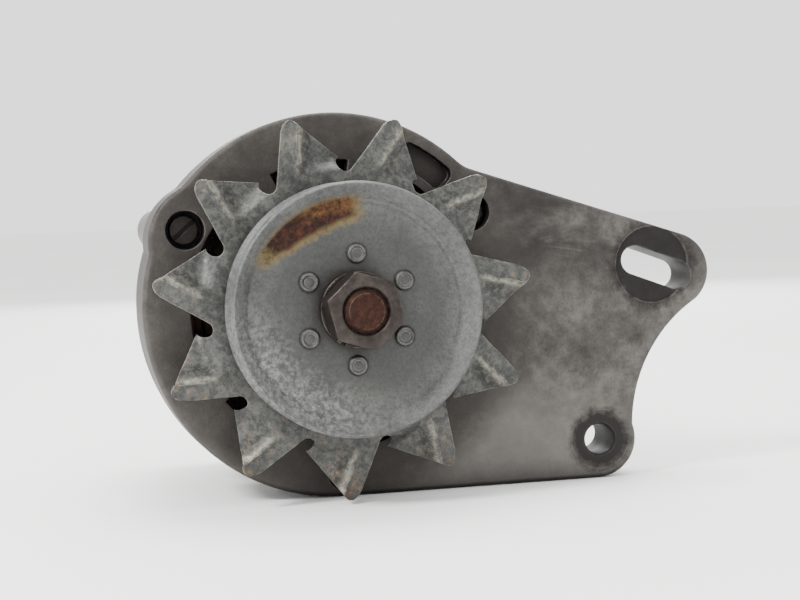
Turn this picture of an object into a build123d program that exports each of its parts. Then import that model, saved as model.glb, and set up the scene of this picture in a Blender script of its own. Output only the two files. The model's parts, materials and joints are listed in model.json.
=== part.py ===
from build123d import *
import math
import os

# Car alternator. Units are millimetres. The rotor turns about the Y axis, -Y is the pulley end,
# +Z is up. The origin is on the rotor axis, in the front face plane of the drive end bracket.

# Drive end bracket
bracketRadius = 64.0        # half of the 128 mm body
bracketWall = 6.0           # thickness of the front wall
bracketDepth = 26.0         # rim, front to back
bracketRimInner = 55.0
rimStep = 0.4               # the rim behind the arm is a little smaller
armDepth = 18.0             # skirt around the mounting arm
armSkirt = 5.0
lugDepth = 20.0             # pivot lug
restHeight = -64.0          # flat bottom edge of the arm
pivotX, pivotZ = 91.3, -50.7
pivotRadius = 5.25
pivotLugRadius = 13.3
slotX, slotZ = 112.3, 9.0   # centre of the round spot face around the slot
slotTilt = -20.5
slotLength = 26.4
slotWidth = 10.0
spotRadius = 13.3
cornerX, cornerZ = 120.1, 6.4
cornerRadius = 13.3
armTopX, armTopZ = 51.3, 42.9       # where the straight top edge of the arm begins
armEndX, armEndZ = 119.3, 20.3      # and where it meets the corner
hollowX, hollowZ = 109.3, -24.5     # deepest point of the hollow edge between the lugs
slotShiftX, slotShiftZ = 1.6, -1.2  # the slot lies a little off its spot face
spotDepth = 0.6
pivotSpotRadius, pivotSpotDepth = 10.2, 0.4
pivotChamfer = 0.6
windowInner, windowOuter = 31.0, 48.5
windowCount, windowRib, windowFirst = 8, 9.0, 9.0
pocketInner, pocketOuter, pocketStart, pocketEnd, pocketDepth = 51.5, 60.0, 45.0, 65.0, 4.2
hubRadius, shaftHole = 26.0, 15.0
ribWidth, ribDepth = 4.0, 14.0      # ribs behind the arm
through = 1.0                       # how far a cut runs past a face
earRadius = 67.0            # the rim stands out around the upper left bolt
earRound = 20.0
edgeFillet = 1.6

# Through bolts
boltCircle = 56.0
boltAngles = (31.5, 151.5, 271.5)
boltRadius = 2.5
counterboreRadius = 6.4
counterboreDepth = 8.0
boltBossRadius = 8.4

# Stator and rotor
coreRadius = 58.0
coreBore = 42.4
coreFront, coreRear = 22.0, 50.0
slotCount = 36
slotCircle, slotDepth, slotBreadth = 47.2, 6.0, 3.0
slotMouthCircle, slotMouth = 43.4, 1.6
headFront, headRear = 12.5, 60.0    # the end turns reach this far out of the core
rotorRadius = 42.0
poleFront, poleRear = 22.0, 50.0
poleDisc = 8.0
fingerCount = 6
fingerRoot, fingerTip = 12.5, 6.0   # half angles of a finger
coilCore, coilInner, coilOuter, bobbinOuter, bobbinWall = 16.0, 17.2, 30.0, 31.0, 0.8
shaftMain = 8.5
shaftRotor = 10.0
shaftRear = 6.0
seatGap = 0.05              # radial gap around the stator core in both brackets
fit = 0.02                  # radial gap where one piece slides on another of its own body

# Pulley, fan and nut, front to back
shaftThread = 7.0
nutFront, nutRear = -46.5, -35.5
nutAcrossFlats = 22.0
nutAngle = 163.3
keyMiddle, keyTop = -22.5, 10.1
keyRadius, keyWidth = 6.5, 4.0
washerRadius = 12.2
discFront = -32.5           # flat front face of the pulley
discThickness = 1.8
discCrease = 35.2
pulleyRadius = 40.6
pulleyFlare = 3.9
rivetCircle = 17.7
rivetRadius, rivetShank, rivetHead = 3.3, 2.4, 1.3
rivetAngle = 88.7
rearDiscBack = -24.9
grooveBottom = 29.0
fanFront = -17.0
fanThickness = 1.4
bladeCount = 11
notchCircle = 46.4
notchRadius = 2.5
notchAngle = 120.9
foldBack = 20.0             # angle of the folded vane to the fan's disc

# Bearings: bore, outside, width, balls
frontBearing = {"bore": 17.0, "outside": 40.0, "front": 5.0, "rear": 17.0, "ball": 6.747, "balls": 8}
rearBearing = {"bore": 12.0, "outside": 32.0, "front": 68.0, "rear": 78.0, "ball": 5.953, "balls": 7}

# Bearing retainer behind the front bearing
retainerCircle = 24.5
retainerAngles = (30.0, 150.0, 270.0)
retainerScrew = 1.6

# Rear bracket and cover
rearFlange = 61.0
rearRim = 57.5
rearRimInner = 53.5
rearFront, rearStep, rearWall, rearBack = 46.0, 54.0, 74.0, 80.0
rearEarRadius = 7.7
rearHub, rearShaftHole = 20.0, 10.5 # boss around the rear bearing
rearWindowInner, rearWindowOuter, rearWindowFirst = 25.0, 41.5, 22.5
boltSleeve, boltEnd = 5.0, 72.0
postRadius = 4.0
coverRadius = 52.0
coverBack = 108.0
coverWall = 2.0
coverCutFront, coverCutRear = 100.0, 110.0
postCircle = 45.5
postAngles = (20.0, 160.0)

# Slip rings and brushes
ringRadius = 8.5
ringFronts = (83.0, 92.0)
ringWidth = 7.0
sleeveRadius, sleeveFront, sleeveRear = 7.4, 80.5, 101.0
brushX, brushY, brushLength = 6.0, 5.0, 15.0
brushGap = 0.1
holderTop = 38.0

# Rectifier
positivePlate, negativePlate, plateThickness = 94.0, 84.0, 2.5
plateInner, plateOuter = 20.0, 42.5
diodeCircle = 31.0
diodeRadius = 6.4
diodeAngles = (202.5, 247.5, 292.5)
rectifierCircle = 37.0
rectifierScrews = (180.0, 225.0, 270.0, 315.0)
bushTop = 97.5
studX, studZ = 30.5, -12.6
studRadius = 3.0
studTip, studStep, studEnd = 2.7, 114.3, 120.0      # the thread ends in a thinner tip
screwRadius = 2.0
holderScrewX, holderScrewZ = 5.0, 44.0
boardFront, boardRear = 90.0, 92.0
exciterX, exciterPitch, exciterZ = -24.0, 5.5, 21.0
bladeLow, bladeHigh, bladeZ, bladeEnd = -26.0, -19.7, 30.0, 118.0
coverScrew = 2.0


def polar(radius, degrees):
    """A point (x, z) around the rotor axis."""
    return radius * math.cos(math.radians(degrees)), radius * math.sin(math.radians(degrees))


def prism(outline, front, rear):
    """A flat outline, drawn in x and z, extruded from y = front to y = rear."""
    plane = Plane(origin=(0, rear, 0), x_dir=(1, 0, 0), z_dir=(0, -1, 0))
    return extrude(plane * outline, amount=rear - front)


def rod(radius, front, rear, x=0.0, z=0.0):
    """A solid cylinder along y."""
    return prism(Pos(x, z) * Circle(radius), front, rear)


def ring(outer, inner, front, rear, x=0.0, z=0.0):
    """A tube along y."""
    return prism(Pos(x, z) * (Circle(outer) - Circle(inner)), front, rear)


def turned(profile):
    """A closed profile of (radius, y) points, turned about the rotor axis."""
    return revolve(make_face(Polyline(*profile, close=True)), Axis.Y)


def box(x0, x1, y0, y1, z0, z1):
    """A box between two corners."""
    return Pos((x0 + x1) / 2, (y0 + y1) / 2, (z0 + z1) / 2) * Box(x1 - x0, y1 - y0, z1 - z0)


def sector(inner, outer, start, end):
    """A flat ring sector between two angles."""
    middle = (start + end) / 2
    edges = [
        ThreePointArc(polar(outer, start), polar(outer, middle), polar(outer, end)),
        Line(polar(outer, end), polar(inner, end)),
        ThreePointArc(polar(inner, end), polar(inner, middle), polar(inner, start)),
        Line(polar(inner, start), polar(outer, start)),
    ]
    return make_face(edges)


def around(shape, angles):
    """Copies of a flat shape turned to each angle."""
    return [Rot(0, 0, angle) * shape for angle in angles]


def union(shapes):
    total = shapes[0]
    for shape in shapes[1:]:
        total = total + shape
    return total


# ---- drive end bracket ----

def arm_outline():
    """The mounting arm: straight top and bottom edges, two rounded lugs, a hollow edge between."""
    top = math.degrees(math.atan2(armTopZ - armEndZ, armEndX - armTopX))
    startX = armTopX - 12

    def corner(degrees):
        x, z = polar(cornerRadius, degrees)
        return cornerX + x, cornerZ + z

    def lug(degrees):
        x, z = polar(pivotLugRadius, degrees)
        return pivotX + x, pivotZ + z

    start = (startX, armTopZ + (armTopX - startX) * math.tan(math.radians(top)))
    edges = [
        Line((0, 0), (0, restHeight)),
        Line((0, restHeight), lug(-90)),
        ThreePointArc(lug(-90), lug(-35), lug(20)),
        ThreePointArc(lug(20), (hollowX, hollowZ), corner(-50)),
        ThreePointArc(corner(-50), corner(10), corner(90 - top)),
        Line(corner(90 - top), start),
        Line(start, (0, 0)),
    ]
    return make_face(edges)


def bracket_outline():
    """Round body, arm and the ear around the upper left bolt, with softened inner corners."""
    ear = Pos(*polar(earRadius - earRound, boltAngles[1])) * Circle(earRound)
    body = Circle(bracketRadius) + ear
    whole = body + arm_outline()
    whole = fillet([v for v in whole.vertices() if v.Y > 20 and v.X < 60], 12.0)
    return fillet([v for v in whole.vertices() if v.X > 103 and -47 < v.Y < -3], 3.0)


def slot_outline():
    return Pos(slotX + slotShiftX, slotZ + slotShiftZ) * SlotOverall(
        slotLength, slotWidth, rotation=slotTilt)


def arm_ribs():
    """Two ribs behind the arm, from the rim to the two lugs."""
    ribs = []
    for endX, endZ in ((pivotX, pivotZ), (cornerX - 12, cornerZ + 4)):
        length = math.hypot(endX, endZ)
        angle = math.degrees(math.atan2(endZ, endX))
        ribs.append(Rot(0, 0, angle) * Pos((length + coreRadius) / 2, 0) * Rectangle(
            length - coreRadius, ribWidth))
    return union(ribs)


def windows(inner, outer, count, rib, first):
    """Air windows in an end wall, all round, with ribs of even width between them."""
    half = 180.0 / count - math.degrees(rib / 2 / ((inner + outer) / 2))
    return around(sector(inner, outer, -half, half), [first + 360.0 * n / count for n in range(count)])


def bracket_cuts():
    """Air windows, bearing seat, bolt holes, spot faces, pivot bore, slot and the cored pocket."""
    cuts = [prism(window, -through, bracketWall + through)
            for window in windows(windowInner, windowOuter, windowCount, windowRib, windowFirst)]
    cuts.append(rod(coreRadius + seatGap, coreFront, bracketDepth + through))
    cuts.append(rod(frontBearing["outside"] / 2 + fit, frontBearing["front"], coreFront))
    cuts.append(rod(shaftHole, -through, bracketWall))
    pocket = sector(pocketInner, pocketOuter, pocketStart, pocketEnd)
    cuts.append(prism(fillet(pocket.vertices(), 3.0), -through, pocketDepth))
    for angle in boltAngles:
        x, z = polar(boltCircle, angle)
        cuts.append(rod(counterboreRadius, -through, counterboreDepth, x, z))
        cuts.append(rod(boltRadius + 0.3, -through, bracketDepth + through, x, z))
    for angle in retainerAngles:
        cuts.append(rod(retainerScrew + fit, 9.0, 18.0, *polar(retainerCircle, angle)))
    cuts.append(rod(pivotSpotRadius, -through, pivotSpotDepth, pivotX, pivotZ))
    cuts.append(rod(pivotRadius, -through, lugDepth + through, pivotX, pivotZ))
    cuts.append(Pos(pivotX, pivotSpotDepth, pivotZ) * Rot(-90, 0, 0) * Cone(
        pivotRadius + pivotChamfer, pivotRadius, pivotChamfer,
        align=(Align.CENTER, Align.CENTER, Align.MIN)))
    cuts.append(rod(spotRadius, -through, spotDepth, slotX, slotZ))
    cuts.append(prism(slot_outline(), -through, armDepth + through))
    return cuts


def drive_end_bracket():
    outline = bracket_outline()
    inside = offset(outline, amount=-armSkirt)
    plate = prism(outline, 0, bracketWall)
    plate = fillet(plate.faces().sort_by(Axis.Y)[0].edges(), edgeFillet)
    lugs = Pos(pivotX, pivotZ) * Circle(pivotLugRadius - 0.5) + (
        Pos(slotX + 1, slotZ - 1) * Circle(spotRadius + 2.5) & offset(outline, amount=-1.0))
    walls = (outline - inside) + (Circle(bracketRadius) - Circle(bracketRimInner)) + lugs
    hub = Circle(hubRadius) + union([Pos(*polar(retainerCircle, a)) * Circle(3.6) for a in retainerAngles])
    heads = union([Pos(*polar(boltCircle, a)) * Circle(boltBossRadius) for a in boltAngles])
    sleeves = union([Pos(*polar(boltCircle, a)) * Circle(boltSleeve) for a in boltAngles])
    bracket = plate + prism(walls, bracketWall, armDepth)
    bracket += prism(arm_ribs(), bracketWall, ribDepth)
    bracket += prism(hub, bracketWall, frontBearing["rear"])
    bracket += prism(heads & Circle(bracketRadius - 2), bracketWall, counterboreDepth + 3)
    bracket += prism(sleeves, bracketWall, coreFront)
    bracket += ring(bracketRadius - rimStep, bracketRimInner, armDepth, bracketDepth)
    bracket += rod(pivotLugRadius - 0.5, armDepth, lugDepth, pivotX, pivotZ)
    for cut in bracket_cuts():
        bracket -= cut
    return bracket


def bearing_retainer():
    plate = Circle(28.5) - Circle(14.5)
    for angle in retainerAngles:
        plate -= Pos(*polar(retainerCircle, angle)) * Circle(2.1)
    return prism(plate, 17.0, 18.5)


def countersunk_screws():
    return [rod(retainerScrew, 10.0, 18.6, *polar(retainerCircle, a))
            + rod(3.2, 18.5, 20.2, *polar(retainerCircle, a)) for a in retainerAngles]


# ---- bearings ----

def race_pair(bearing):
    """Outer and inner race with their ball grooves."""
    bore, outside = bearing["bore"] / 2, bearing["outside"] / 2
    pitch = (bore + outside) / 2
    middle = (bearing["front"] + bearing["rear"]) / 2
    groove = Pos(0, middle, 0) * Rot(90, 0, 0) * Torus(pitch, bearing["ball"] / 2)
    shoulder = (outside - bore) * 0.27
    outer = ring(outside, outside - shoulder, bearing["front"], bearing["rear"]) - groove
    inner = ring(bore + shoulder, bore + fit / 2, bearing["front"], bearing["rear"]) - groove
    return outer, inner


def bearing_places(bearing):
    """Where the balls sit on their pitch circle."""
    pitch = (bearing["bore"] + bearing["outside"]) / 4
    middle = (bearing["front"] + bearing["rear"]) / 2
    step = 360.0 / bearing["balls"]
    return [Rot(0, step * n, 0) * Pos(pitch, middle, 0) for n in range(bearing["balls"])]


def bearing_balls(bearing):
    return [place * Sphere(bearing["ball"] / 2 - 0.08) for place in bearing_places(bearing)]


def bearing_cage(bearing):
    """A band with a round pocket for each ball."""
    pitch = (bearing["bore"] + bearing["outside"]) / 4
    middle = (bearing["front"] + bearing["rear"]) / 2
    half = bearing["ball"] / 2 + 0.9
    cage = ring(pitch + 0.9, pitch - 0.9, middle - half, middle + half)
    for place in bearing_places(bearing):
        cage -= place * Rot(0, 90, 0) * Cylinder(bearing["ball"] / 2 + 0.05, 4.0)
    return cage


def bearing_shield(bearing, front):
    """A thin dished ring between the two races, pressed into the outer one."""
    bore, outside = bearing["bore"] / 2, bearing["outside"] / 2
    shoulder = (outside - bore) * 0.27
    return ring(outside - shoulder, bore + shoulder + 0.3, front, front + 0.4)


# ---- pulley, fan and nut ----

def pulley_disc(front, flare):
    """A stamped disc with a flared rim; flare is -1 towards the front and 1 towards the back."""
    back = front + discThickness
    mid = (front + back) / 2
    slope = math.atan2(pulleyFlare, pulleyRadius - discCrease)
    lip = pulleyFlare
    half = discThickness / 2
    turn = half * math.tan(slope / 2)
    nx, ny = half * math.sin(slope), half * math.cos(slope)
    tipX, tipY = pulleyRadius - nx, mid + flare * (lip - ny + half)
    profile = [
        (shaftMain + fit, mid - half * flare), (discCrease + turn, mid - half * flare),
        (tipX + nx, tipY - ny * flare), (tipX - nx, tipY + ny * flare),
        (discCrease - turn, mid + half * flare), (shaftMain + fit, mid + half * flare),
    ]
    return turned(profile)


def rivet_places():
    return [polar(rivetCircle, rivetAngle + 60 * n) for n in range(6)]


def rivet_holes():
    """The holes that the six rivets fill, right through the pulley."""
    return union([rod(rivetShank, discFront - 5, rearDiscBack + 5, x, z) for x, z in rivet_places()])


def pulley_front_disc():
    return pulley_disc(discFront, -1) - rivet_holes()


def pulley_rear_disc():
    return pulley_disc(rearDiscBack - discThickness, 1) - keyway() - rivet_holes()


def pulley_hub_spacer():
    spacer = ring(grooveBottom, shaftMain + fit, discFront + discThickness, rearDiscBack - discThickness)
    return spacer - keyway() - rivet_holes()


def pulley_collar():
    """Spacer between the pulley and the fan."""
    return ring(14.0, shaftMain + fit, rearDiscBack, fanFront) - keyway()


def fan_collar():
    """Spacer between the fan and the front bearing."""
    return ring(12.0, shaftMain + fit, fanFront + fanThickness, frontBearing["front"])


def pulley_rivets():
    """Six rivets with round low heads in front and behind."""
    rivets = []
    for x, z in rivet_places():
        head = rod(rivetRadius, discFront - rivetHead, discFront, x, z)
        head = fillet(head.faces().sort_by(Axis.Y)[0].edges(), 0.9)
        tail = rod(rivetRadius, rearDiscBack, rearDiscBack + rivetHead, x, z)
        tail = fillet(tail.faces().sort_by(Axis.Y)[-1].edges(), 0.9)
        rivets.append(head + rod(rivetShank, discFront, rearDiscBack, x, z) + tail)
    return rivets


def shaft_nut():
    """Hexagon nut, chamfered on both faces."""
    hexagon = RegularPolygon(nutAcrossFlats / 2, 6, major_radius=False, rotation=nutAngle)
    blank = prism(hexagon, nutFront, nutRear)
    corner = nutAcrossFlats / 2 / math.cos(math.radians(30)) + 0.1
    flat = nutAcrossFlats / 2 - 0.3
    drop = (corner - flat) * math.tan(math.radians(30))
    envelope = turned([(0, nutFront), (flat, nutFront), (corner, nutFront + drop),
                       (corner, nutRear - drop / 2), (flat + 0.6, nutRear), (0, nutRear)])
    return (blank & envelope) - rod(shaftThread + fit, nutFront - 1, nutRear + 1)


def spring_washer():
    """A split spring washer, flattened, with a narrow slanted gap."""
    washer = ring(washerRadius, shaftThread + 0.2, nutRear, discFront)
    gap = Pos(0, (nutRear + discFront) / 2, 0) * Rot(0, 0, 25) * Pos(-10, 0, 0) * Box(8, 8, 1.2)
    return washer - Rot(0, 40, 0) * gap


def fan_tooth():
    """One blade of the fan at notch angle 0: a flat strip and the vane folded back from it."""
    foldStart, foldEnd = Vector(41.4, -7.2), Vector(57.2, -19.4)
    along = (foldEnd - foldStart).normalized()
    overlap = Vector(-along.Y, along.X) * 0.4
    strip = make_face(Polyline(polar(42.5, -1.5), polar(45.0, -3.0), polar(60.0, -12.0), polar(63.0, -15.7),
                               tuple(foldEnd)[:2], tuple(foldStart)[:2], polar(40.0, -9.0), close=True))
    vane = make_face(Polyline(tuple(foldStart + overlap)[:2], tuple(foldEnd + overlap)[:2],
                              tuple(foldEnd)[:2], polar(54.0, -24.0), polar(48.4, -31.6), polar(46.5, -29.6),
                              polar(43.0, -28.0), tuple(foldStart)[:2], close=True))
    flat = prism(strip, fanFront, fanFront + fanThickness)
    folded = prism(vane, fanFront, fanFront + fanThickness)
    hinge = Axis((foldStart.X, fanFront + fanThickness / 2, foldStart.Y), (along.X, 0, along.Y))
    return flat + folded.rotate(hinge, foldBack)


def cooling_fan():
    disc = Circle(notchCircle - 0.6) - Circle(shaftMain + fit)
    for n in range(bladeCount):
        disc -= Pos(*polar(notchCircle, notchAngle + 360.0 * n / bladeCount)) * Circle(notchRadius)
    fan = prism(disc, fanFront, fanFront + fanThickness)
    tooth = fan_tooth()
    for n in range(bladeCount):
        fan += Rot(0, -(notchAngle + 360.0 * n / bladeCount), 0) * tooth
    return fan - keyway()


# ---- rotor ----

def rotor_shaft():
    """Stepped shaft: threaded end, pulley and bearing seat, knurled rotor seat, rear stub."""
    return turned([
        (0, -47.0), (shaftThread - 1.4, -47.0), (shaftThread, -45.6), (shaftThread, -31.5),
        (shaftMain, -31.5),
        (shaftMain, 17.0), (shaftRotor + 1, 17.0), (shaftRotor + 1, 21.0), (shaftRotor, 21.0),
        (shaftRotor, 62.0), (shaftRear + 1.5, 62.0), (shaftRear + 1.5, 68.0), (shaftRear, 68.0),
        (shaftRear, 101.0), (shaftRear - 1, 102.0), (0, 102.0)]) - half_moon(keyRadius, keyWidth)


def half_moon(radius, width):
    """A half disc standing along the shaft, flat side up, that keys the pulley and the fan."""
    disc = Pos(0, keyMiddle, keyTop) * Rot(0, 90, 0) * Cylinder(radius, width)
    return disc & box(-width, width, keyMiddle - radius, keyMiddle + radius, 0, keyTop)


def woodruff_key():
    return half_moon(keyRadius - fit, keyWidth - 2 * fit)


def keyway():
    """The slot above the shaft in everything that the key drives."""
    half = keyWidth / 2 + fit
    reach = keyRadius + 1
    return box(-half, half, keyMiddle - reach, keyMiddle + reach, shaftMain - 1, keyTop + 0.2)


def claw_pole(face, direction, first):
    """A disc with six tapered fingers that reach along the rotor."""
    far = face + direction * (poleRear - poleFront)
    inner = face + direction * poleDisc
    low, high = sorted((face, inner))
    pole = ring(coilOuter, shaftRotor + fit, low, high)
    for n in range(fingerCount):
        angle = first + 360.0 * n / fingerCount
        arms = sector(24.0, rotorRadius, -fingerRoot, fingerRoot)
        pole += Rot(0, -angle, 0) * prism(arms, low, high)
        tip = far - direction * 2.0
        steps = []
        for y, half, inside in ((inner, fingerRoot, 33.5), (tip, fingerTip, 38.5)):
            plane = Plane(origin=(0, y, 0), x_dir=(1, 0, 0), z_dir=(0, -1, 0))
            steps.append((plane * sector(inside, rotorRadius, -half, half)).faces()[0])
        finger = loft(steps, ruled=True)
        pole += Rot(0, -angle, 0) * finger
    return pole & rod(rotorRadius, poleFront - 1, poleRear + 1)


def pole_core():
    return ring(coilCore, shaftRotor + fit, poleFront + poleDisc, poleRear - poleDisc)


def coil_bobbin():
    y0, y1 = poleFront + poleDisc, poleRear - poleDisc
    return turned([(coilCore + fit, y0), (bobbinOuter, y0), (bobbinOuter, y0 + bobbinWall),
                   (coilInner, y0 + bobbinWall), (coilInner, y1 - bobbinWall),
                   (bobbinOuter, y1 - bobbinWall), (bobbinOuter, y1), (coilCore + fit, y1)])


def field_coil():
    return ring(coilOuter, coilInner, poleFront + poleDisc + bobbinWall,
                poleRear - poleDisc - bobbinWall)


def slip_ring(front):
    return ring(ringRadius, sleeveRadius, front, front + ringWidth)


def slip_ring_sleeve():
    """Moulded insulator that carries both rings, with a collar between them."""
    sleeve = ring(sleeveRadius, shaftRear + fit, sleeveFront, sleeveRear)
    return sleeve + ring(8.2, sleeveRadius - 0.1, ringFronts[0] + ringWidth, ringFronts[1])


# ---- stator ----

def stator_core():
    core = Circle(coreRadius) - Circle(coreBore)
    for n in range(slotCount):
        angle = 360.0 * n / slotCount
        core -= Rot(0, 0, angle) * Pos(slotCircle, 0) * Rectangle(slotDepth, slotBreadth)
        core -= Rot(0, 0, angle) * Pos(slotMouthCircle, 0) * Rectangle(3.0, slotMouth)
    for angle in boltAngles:
        core -= Pos(*polar(boltCircle, angle)) * Circle(3.6)
        core -= Pos(*polar(boltCircle + 3.6, angle)) * Rot(0, 0, angle) * Rectangle(7.2, 7.2)
    return prism(core, coreFront, coreRear)


def phase_winding(phase):
    """One phase: a ring of end turns at each side and a bar of wire in every third slot."""
    inner = 43.6 + 2.3 * phase
    outer = inner + 2.25
    winding = ring(outer, inner, headFront, coreFront) + ring(outer, inner, coreRear, headRear)
    for n in range(phase, slotCount, 3):
        bar = Pos(slotCircle, 0) * Rectangle(slotDepth - 0.2, slotBreadth - 0.4)
        bar = Rot(0, 0, 360.0 * n / slotCount) * bar
        winding += prism(bar, coreFront, coreRear)
    return winding


# ---- rear bracket ----

def rear_bracket():
    bracket = ring(rearFlange, rearRimInner, rearFront, rearStep)
    bracket += ring(rearRim, rearRimInner, rearStep - 1, rearBack)
    bracket += ring(rearRim, rearHub, rearWall, rearBack)
    bracket += ring(rearHub + 0.5, rearBearing["outside"] / 2 + fit, 65.0, rearBack)
    bracket += ring(rearHub + 0.5, rearShaftHole, rearBearing["rear"] + fit, rearBack)
    ears = union([Pos(*polar(boltCircle, a)) * Circle(rearEarRadius) for a in boltAngles])
    bracket += prism(ears - Circle(rearRimInner - 1.5), rearStep - 1, rearWall)
    bracket += prism(ears, rearWall, rearBack)
    for angle in boltAngles:
        bracket += rod(boltSleeve, coreRear, rearStep, *polar(boltCircle, angle))
    for angle in postAngles:
        bracket += rod(postRadius, rearBack - 1, coverBack - coverWall, *polar(postCircle, angle))
    cuts = [prism(window, rearWall - through, rearBack + through) for window in windows(
        rearWindowInner, rearWindowOuter, windowCount, windowRib, rearWindowFirst)]
    cuts.append(ring(coreRadius + seatGap, rearHub, rearFront - through, coreRear))
    for angle in boltAngles:
        cuts.append(rod(boltRadius + 0.05, rearFront - through, boltEnd, *polar(boltCircle, angle)))
    for angle in postAngles:
        cuts.append(rod(coverScrew + fit, 94.0, coverBack, *polar(postCircle, angle)))
    for angle in rectifierScrews:
        cuts.append(rod(screwRadius + fit, rearWall - 1, rearBack + 1, *polar(rectifierCircle, angle)))
    for x in (-holderScrewX, holderScrewX):
        cuts.append(rod(screwRadius + fit, rearWall - 1, rearBack + 1, x, holderScrewZ))
    for cut in cuts:
        bracket -= cut
    return bracket


def through_bolts():
    """Three long slotted cheese-head bolts."""
    bolts = []
    for angle in boltAngles:
        x, z = polar(boltCircle, angle)
        head = rod(4.6, 3.6, counterboreDepth, x, z)
        head -= Pos(x, 3.6, z) * Rot(0, -40, 0) * Box(10.0, 2.4, 1.3)
        bolts.append(head + rod(boltRadius, counterboreDepth, 70.0, x, z))
    return bolts


# ---- brushes, rectifier, regulator ----

def brush_holder():
    """Moulded box above the slip rings with a square tunnel for each brush and a foot on the end wall."""
    holder = box(-9, 9, rearBack, 101.0, 10.5, holderTop) + box(-9, 9, rearBack, 84.0, holderTop - 1, 48.0)
    for x in (-holderScrewX, holderScrewX):
        holder -= rod(screwRadius + fit, 79.0, 85.0, x, holderScrewZ)
    for front in ringFronts:
        y = front + ringWidth / 2
        halfX, halfY = brushX / 2 + 0.08, brushY / 2 + 0.08
        holder -= box(-halfX, halfX, y - halfY, y + halfY, 9.0, holderTop - 2.0)
    return holder


def brush(front):
    y = front + ringWidth / 2
    z = ringRadius + brushGap
    return box(-brushX / 2, brushX / 2, y - brushY / 2, y + brushY / 2, z, z + brushLength)


def brush_spring(front):
    """Coil spring between the brush and the roof of its tunnel."""
    y = front + ringWidth / 2
    low = ringRadius + brushGap + brushLength + 0.35
    high = holderTop - 2.0 - 0.35
    path = Helix(pitch=(high - low) / 6, height=high - low, radius=1.7, center=(0, y, low))
    start = Plane(origin=path @ 0, z_dir=path % 0)
    return sweep(start * Circle(0.3), path=path)


def holder_screws():
    return [rod(screwRadius, rearWall, 84.0, x, holderScrewZ) + rod(3.0, 84.0, 86.4, x, holderScrewZ)
            for x in (-holderScrewX, holderScrewX)]


def voltage_regulator():
    """Potted electronic regulator beside the brush holder, with cooling fins."""
    body = box(9.0, 29.0, 83.0, 98.0, 15.0, 34.0)
    body = fillet(body.edges().filter_by(Axis.Y), 1.5)
    for n in range(4):
        z = 18.5 + 4.0 * n
        body -= box(11.0, 27.0, 96.0, 99.0, z, z + 1.8)
    return body


def heat_sink(front):
    """A horseshoe plate around the slip rings, with seats for the diodes and holes for its screws."""
    plate = sector(plateInner, plateOuter, 168.0, 372.0)
    plate = prism(fillet(plate.vertices(), 3.0), front, front + plateThickness)
    for angle in diodeAngles:
        plate -= rod(diodeRadius, front - 1, front + 4, *polar(diodeCircle, angle))
    for angle in rectifierScrews:
        plate -= rod(4.0, front - 1, front + 4, *polar(rectifierCircle, angle))
    return plate


def negative_heat_sink():
    return heat_sink(negativePlate) + negative_feet()


def negative_feet():
    """Round feet that stand the earthed plate off the end wall and carry the screws."""
    feet = []
    for angle in rectifierScrews:
        x, z = polar(rectifierCircle, angle)
        feet.append(ring(4.0, screwRadius + fit, rearBack, negativePlate + plateThickness, x, z))
    return union(feet)


def positive_heat_sink():
    return heat_sink(positivePlate) - rod(studRadius + fit, 92, 98, studX, studZ)


def insulating_bushes():
    """Stepped plastic bushes that keep the live plate apart from its screws and the earthed plate."""
    bushes = []
    for angle in rectifierScrews:
        x, z = polar(rectifierCircle, angle)
        low = ring(5.0, screwRadius + fit, negativePlate + plateThickness, positivePlate, x, z)
        neck = ring(4.0, screwRadius + fit, positivePlate, positivePlate + plateThickness, x, z)
        top = ring(5.0, screwRadius + fit, positivePlate + plateThickness, bushTop, x, z)
        bushes.append(low + neck + top)
    return bushes


def rectifier_screws():
    return [rod(screwRadius, rearWall, bushTop, *polar(rectifierCircle, a))
            + rod(3.4, bushTop, bushTop + 2.4, *polar(rectifierCircle, a)) for a in rectifierScrews]


def diodes(front):
    """Press-fit rectifier diodes: a can with a wire on top."""
    cans = []
    for angle in diodeAngles:
        x, z = polar(diodeCircle, angle)
        cans.append(rod(diodeRadius, front, front + 4.6, x, z) + rod(0.8, front + 4.6, front + 7.0, x, z))
    return cans


def exciter_board():
    """Small board on the other side of the brush holder, with three seats for its diodes."""
    board = box(-29.0, -9.0, boardFront, boardRear, 14.0, 34.0)
    for n in range(3):
        board -= rod(0.6, boardFront - 1, boardRear + 1, exciterX + exciterPitch * n, exciterZ)
    return board


def exciter_diodes():
    return [rod(2.3, boardRear, boardRear + 7.0, exciterX + exciterPitch * n, exciterZ)
            + rod(0.6, boardFront, boardRear, exciterX + exciterPitch * n, exciterZ) for n in range(3)]


def terminal_blade():
    """The D+ spade terminal, from the exciter board out through the cover."""
    blade = box(bladeLow, bladeHigh, boardRear, bladeEnd, bladeZ, bladeZ + 0.8)
    blade = chamfer(blade.faces().sort_by(Axis.Y)[-1].edges().filter_by(Axis.Z), 1.2)
    return blade - Pos((bladeLow + bladeHigh) / 2, bladeEnd - 4.0, bladeZ + 0.4) * Cylinder(0.9, 3.0)


def output_stud():
    """The B+ stud, headed inside the live plate."""
    head = rod(5.0, positivePlate - 2.2, positivePlate, studX, studZ)
    thread = rod(studRadius, positivePlate, studStep, studX, studZ)
    return head + thread + rod(studTip, studStep, studEnd, studX, studZ)


def output_sleeve():
    """Flanged sleeve that carries the current from the live plate out of the cover."""
    return ring(5.0, studRadius + fit, positivePlate + plateThickness, coverBack + 1.0, studX, studZ)


def output_nut():
    hexagon = RegularPolygon(5.0, 6, major_radius=False) - Circle(studRadius + fit)
    return prism(Pos(studX, studZ) * hexagon, coverBack + 1.0, coverBack + 6.0)


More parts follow.
